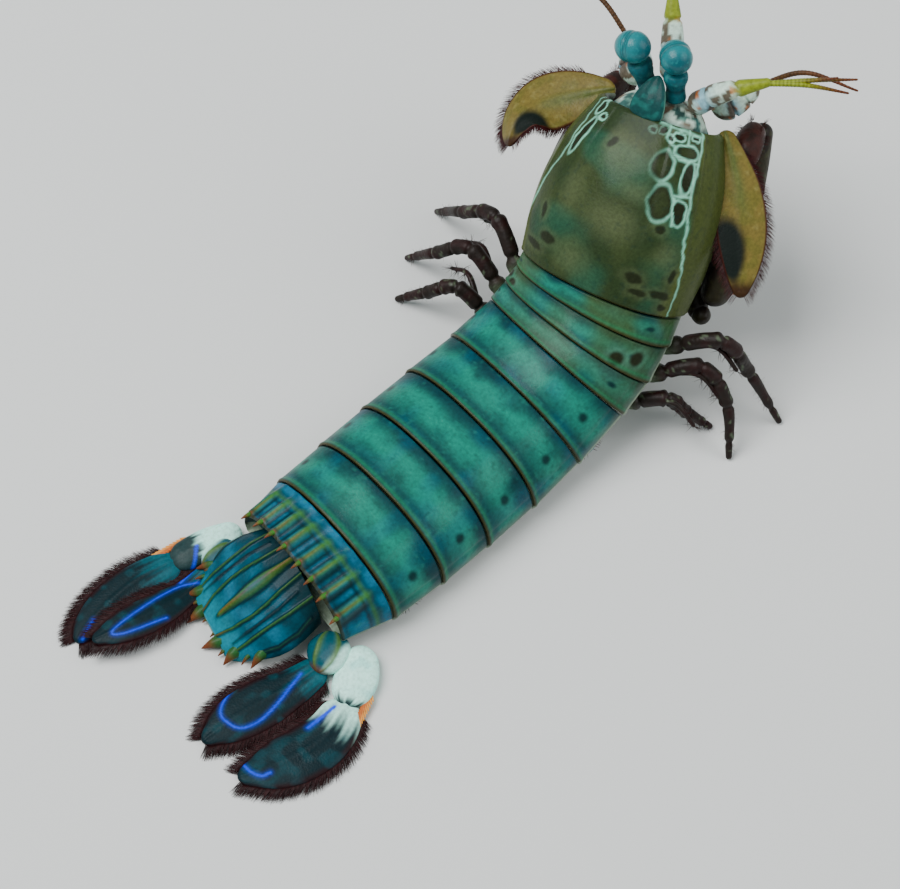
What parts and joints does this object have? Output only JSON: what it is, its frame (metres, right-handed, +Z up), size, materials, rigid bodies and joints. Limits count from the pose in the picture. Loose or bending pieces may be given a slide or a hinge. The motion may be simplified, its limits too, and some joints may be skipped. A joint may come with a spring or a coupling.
{
  "type": "mantis shrimp",
  "caption": "Life-size mantis shrimp resting with its front raised, with shield, ringed body plates, folded striking claws, stalked eyes and a fan tail",
  "frame": {"origin": "the centre of the bounding box in plan, at the level of the sea floor the animal rests on", "axes": "+X forward along the abdomen, +Y to the animal's left, +Z up"},
  "size_m": [0.128, 0.0644, 0.0552],
  "materials": {
    "shell_green": "satin",
    "shell_olive": "satin",
    "ridge_green": "satin",
    "limb_maroon": "satin",
    "limb_olive": "satin",
    "blade_black": "satin",
    "blade_pale": "satin",
    "scale_yellow": "satin",
    "eye_teal": "satin",
    "stalk_teal": "satin",
    "core_brown": "satin",
    "club_red": "satin",
    "gill_pale": "satin"
  },
  "bodies": {
    "root": {"abdomen_somite_1": "shell_green", "abdomen_somite_2": "shell_green", "abdomen_somite_3": "shell_green", "abdomen_somite_4": "shell_green", "abdomen_somite_5": "shell_green", "abdomen_somite_6": "ridge_green", "thorax_somite_6": "shell_green", "thorax_somite_7": "shell_green", "thorax_somite_8": "shell_green", "carapace": "shell_olive", "head_core": "core_brown", "rostral_plate": "ridge_green", "telson": "ridge_green", "eyestalk_left": "stalk_teal", "eye_left": "eye_teal", "antennule_left": "limb_olive", "antenna_left": "limb_olive", "antennal_scale_left": "scale_yellow", "raptorial_base_left": "limb_olive", "raptorial_merus_left": "limb_olive", "raptorial_carpus_left": "limb_olive", "raptorial_propodus_left": "limb_olive", "raptorial_dactyl_left": "club_red", "maxillipeds_left": "limb_olive", "uropod_protopod_left": "ridge_green", "uropod_exopod_base_left": "blade_pale", "uropod_exopod_left": "blade_black", "uropod_endopod_left": "blade_black", "pleopod_1_left": "gill_pale", "pleopod_2_left": "gill_pale", "pleopod_3_left": "gill_pale", "pleopod_4_left": "gill_pale", "pleopod_5_left": "gill_pale", "walking_leg_1_left": "limb_maroon", "walking_leg_2_left": "limb_maroon", "walking_leg_3_left": "limb_maroon", "eyestalk_right": "stalk_teal", "eye_right": "eye_teal", "antennule_right": "limb_olive", "antenna_right": "limb_olive", "antennal_scale_right": "scale_yellow", "raptorial_base_right": "limb_olive", "raptorial_merus_right": "limb_olive", "raptorial_carpus_right": "limb_olive", "raptorial_propodus_right": "limb_olive", "raptorial_dactyl_right": "club_red", "maxillipeds_right": "limb_olive", "uropod_protopod_right": "ridge_green", "uropod_exopod_base_right": "blade_pale", "uropod_exopod_right": "blade_black", "uropod_endopod_right": "blade_black", "pleopod_1_right": "gill_pale", "pleopod_2_right": "gill_pale", "pleopod_3_right": "gill_pale", "pleopod_4_right": "gill_pale", "pleopod_5_right": "gill_pale", "walking_leg_1_right": "limb_maroon", "walking_leg_2_right": "limb_maroon", "walking_leg_3_right": "limb_maroon"}
  },
  "joints": []
}
